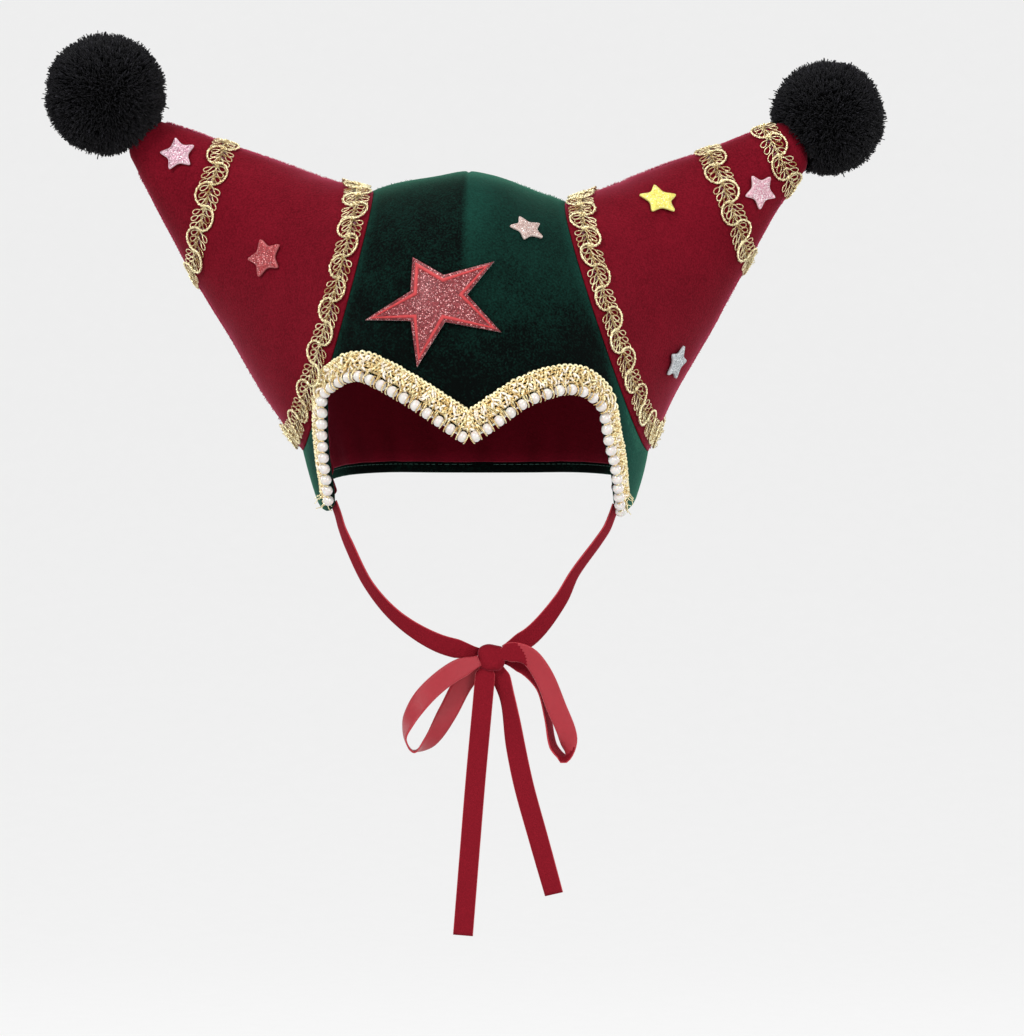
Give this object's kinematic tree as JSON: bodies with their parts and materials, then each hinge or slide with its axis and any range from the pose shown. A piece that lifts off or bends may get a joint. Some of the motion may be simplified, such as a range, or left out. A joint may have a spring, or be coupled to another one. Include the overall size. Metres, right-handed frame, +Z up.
{
  "type": "jester hat",
  "caption": "Velvet jester hood with two hollow horns, pompoms, gold braid, pearl trim, stars and a ribbon chin tie with a bow.",
  "frame": {"origin": "where the head bears on the inside of the lining, at the top of the crown", "axes": "+X to the right of someone who looks at the front, from horn to horn; the front faces -Y; +Z up"},
  "size_m": [0.4008, 0.2159, 0.4241],
  "materials": {
    "green_velvet": "dark green velvet pile",
    "burgundy_velvet": "burgundy velvet pile",
    "burgundy_lining": "matt burgundy cloth",
    "black_yarn": "matt black cut yarn",
    "gold_cord": "metallic gold cord",
    "pearl": "ivory pearl lustre",
    "red_glitter": "red glitter with a raised coral border",
    "champagne_glitter": "champagne glitter foam",
    "pink_glitter": "pink and silver glitter foam",
    "yellow_glitter": "yellow glitter foam",
    "silver_glitter": "silver glitter foam",
    "ribbon": "velvet ribbon with a satin back"
  },
  "bodies": {
    "root": {"crown": "green_velvet", "lining": "burgundy_lining", "horn_left": "burgundy_velvet", "horn_right": "burgundy_velvet", "gimp_left_base": "gold_cord", "gimp_left_middle": "gold_cord", "gimp_right_base": "gold_cord", "gimp_right_middle": "gold_cord", "gimp_right_tip": "gold_cord", "pompom_left": "black_yarn", "pompom_right": "black_yarn", "face_braid_left": "gold_cord", "face_braid_right": "gold_cord", "pearls_left": "pearl", "pearls_right": "pearl", "star_red_large": "red_glitter", "star_champagne": "champagne_glitter", "star_pink_left": "pink_glitter", "star_red_left": "red_glitter", "star_yellow": "yellow_glitter", "star_pink_right": "pink_glitter", "star_silver": "silver_glitter", "strap_left": "ribbon", "strap_right": "ribbon", "loop_left": "ribbon", "loop_right": "ribbon", "tail_left": "ribbon", "tail_right": "ribbon", "bow_knot": "ribbon"}
  },
  "joints": []
}
